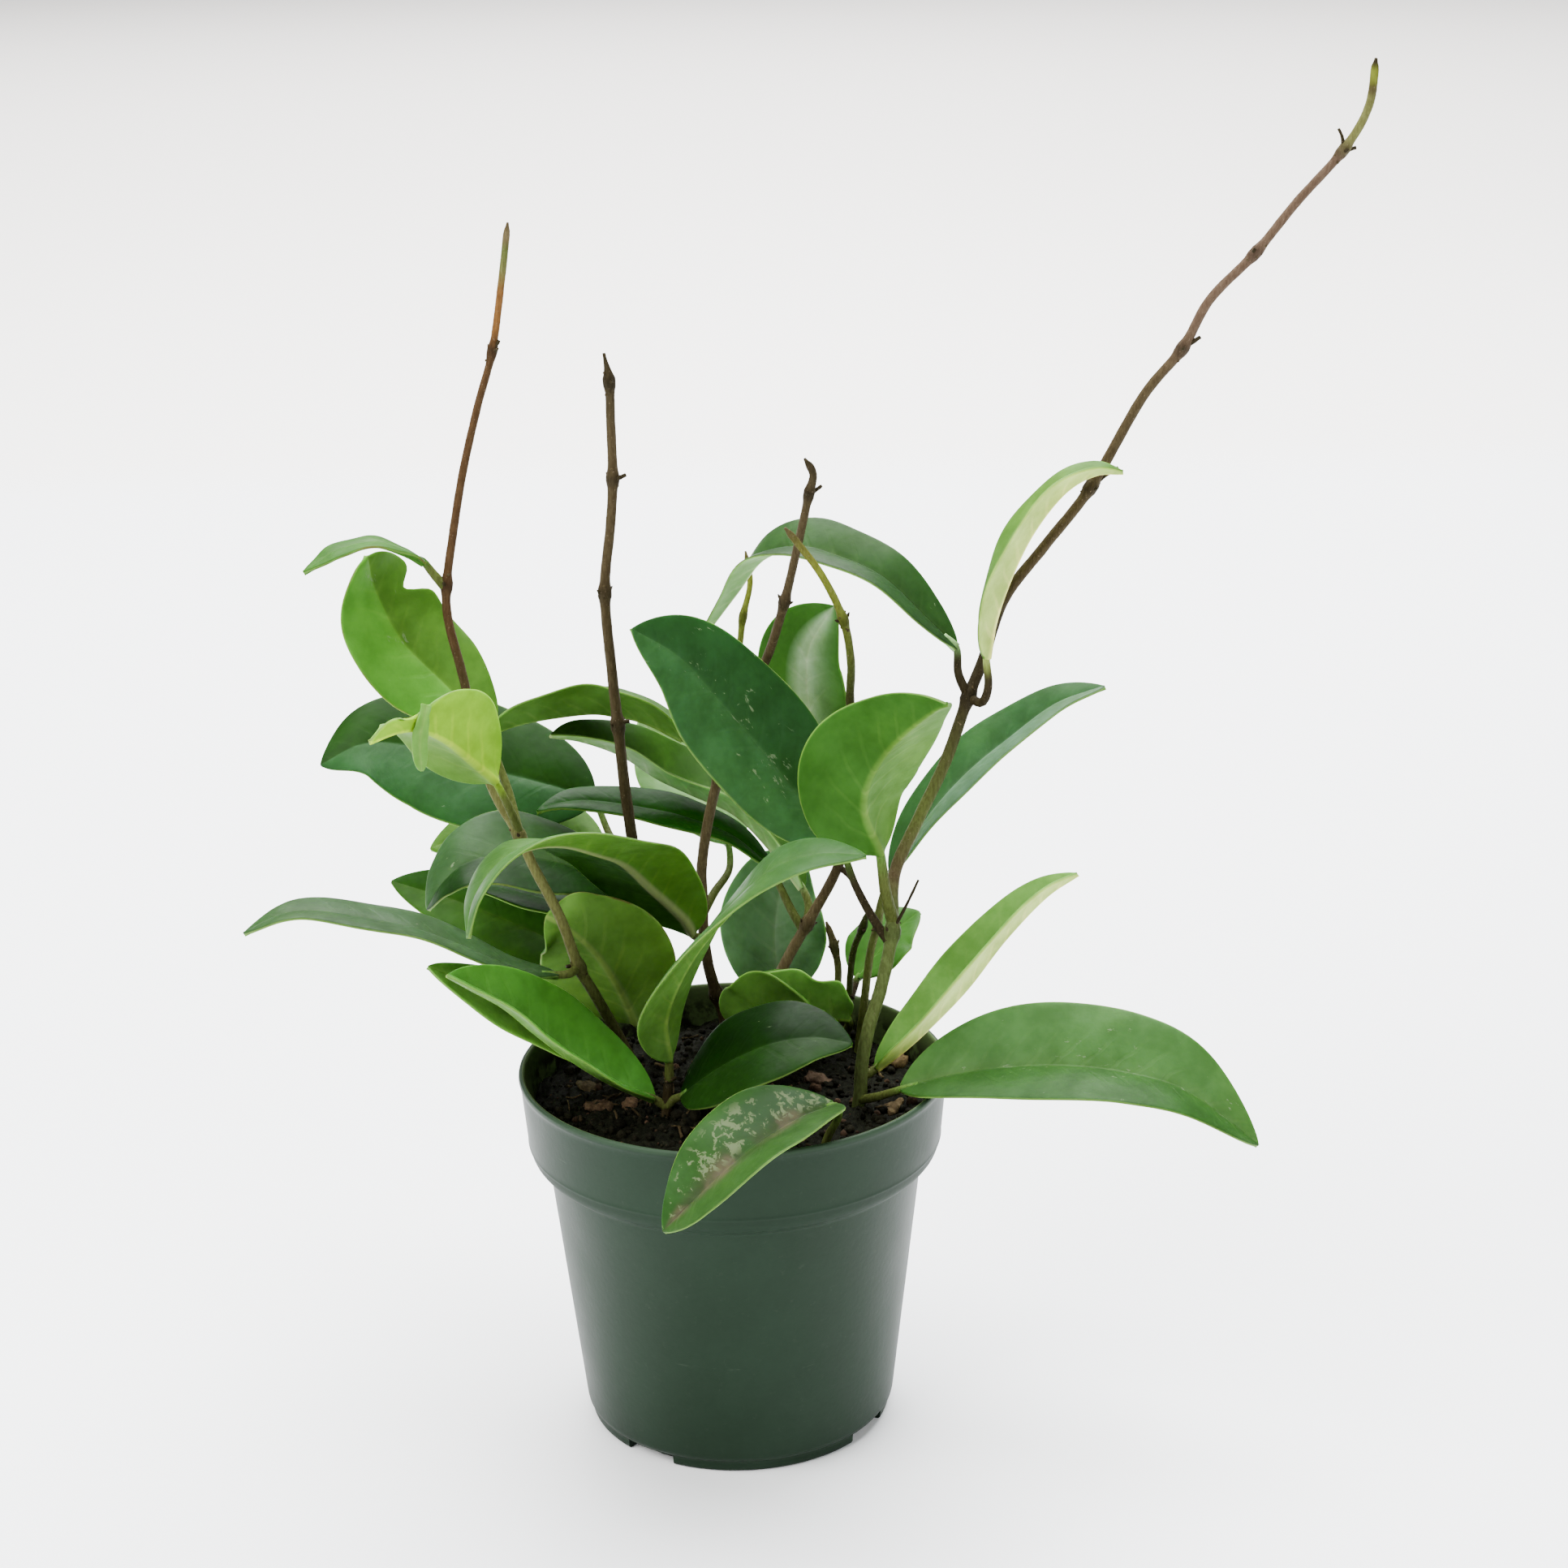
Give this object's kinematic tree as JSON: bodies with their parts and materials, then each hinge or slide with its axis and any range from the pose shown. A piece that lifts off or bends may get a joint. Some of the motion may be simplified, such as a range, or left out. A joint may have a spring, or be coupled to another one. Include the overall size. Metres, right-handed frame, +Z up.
{
  "type": "potted hoya",
  "caption": "Young hoya house plant: waxy folded leaves on thin twining stems, rooted in dark potting mix in a round tapered nursery pot.",
  "frame": {"origin": "middle of the pot's flat underside", "axes": "+Z up out of the pot, best side towards -Y, the longest vine leans to +X"},
  "size_m": [0.2702, 0.1567, 0.3371],
  "materials": {
    "pot": "satin dark grey-green plastic",
    "soil": "moist dark peat mix with tan bark chips",
    "stem": "matt brown stem, olive towards young growth",
    "young_stem": "smooth olive-green stem",
    "dark_leaf": "waxy deep green leaf with pale flecks",
    "mid_leaf": "waxy mid-green leaf with a few pale flecks",
    "pale_leaf": "waxy light yellow-green leaf"
  },
  "bodies": {
    "root": {"pot": "pot", "soil": "soil", "vine_right": "stem", "vine_left": "stem", "vine_mid_left": "stem", "vine_mid": "stem", "vine_centre": "stem", "stem_dark": "stem", "stem_olive": "young_stem", "stem_red": "stem", "stem_front": "stem", "leaf_right_front": "mid_leaf", "leaf_right_mid": "mid_leaf", "leaf_right_low": "dark_leaf", "leaf_centre_light": "pale_leaf", "leaf_centre_dark": "dark_leaf", "leaf_back_centre": "mid_leaf", "leaf_top_arch": "dark_leaf", "leaf_top_right": "pale_leaf", "leaf_left_top": "mid_leaf", "leaf_left_notched": "mid_leaf", "leaf_left_yellow": "pale_leaf", "leaf_left_dark": "dark_leaf", "leaf_back_arch": "mid_leaf", "leaf_back_green": "mid_leaf", "leaf_mid_dark": "dark_leaf", "leaf_arch_mid": "mid_leaf", "leaf_left_second": "dark_leaf", "leaf_left_third": "mid_leaf", "leaf_left_low_dark": "dark_leaf", "leaf_left_far": "mid_leaf", "leaf_left_long": "dark_leaf", "leaf_left_green": "mid_leaf", "leaf_left_under": "dark_leaf", "leaf_round_light": "pale_leaf", "leaf_front_arch": "mid_leaf", "leaf_low_dark": "dark_leaf", "leaf_front_hanging": "dark_leaf", "leaf_curl_front": "mid_leaf", "leaf_curl_back": "mid_leaf", "leaf_back_big": "dark_leaf", "leaf_back_right": "mid_leaf", "leaf_back_far": "mid_leaf"}
  },
  "joints": []
}
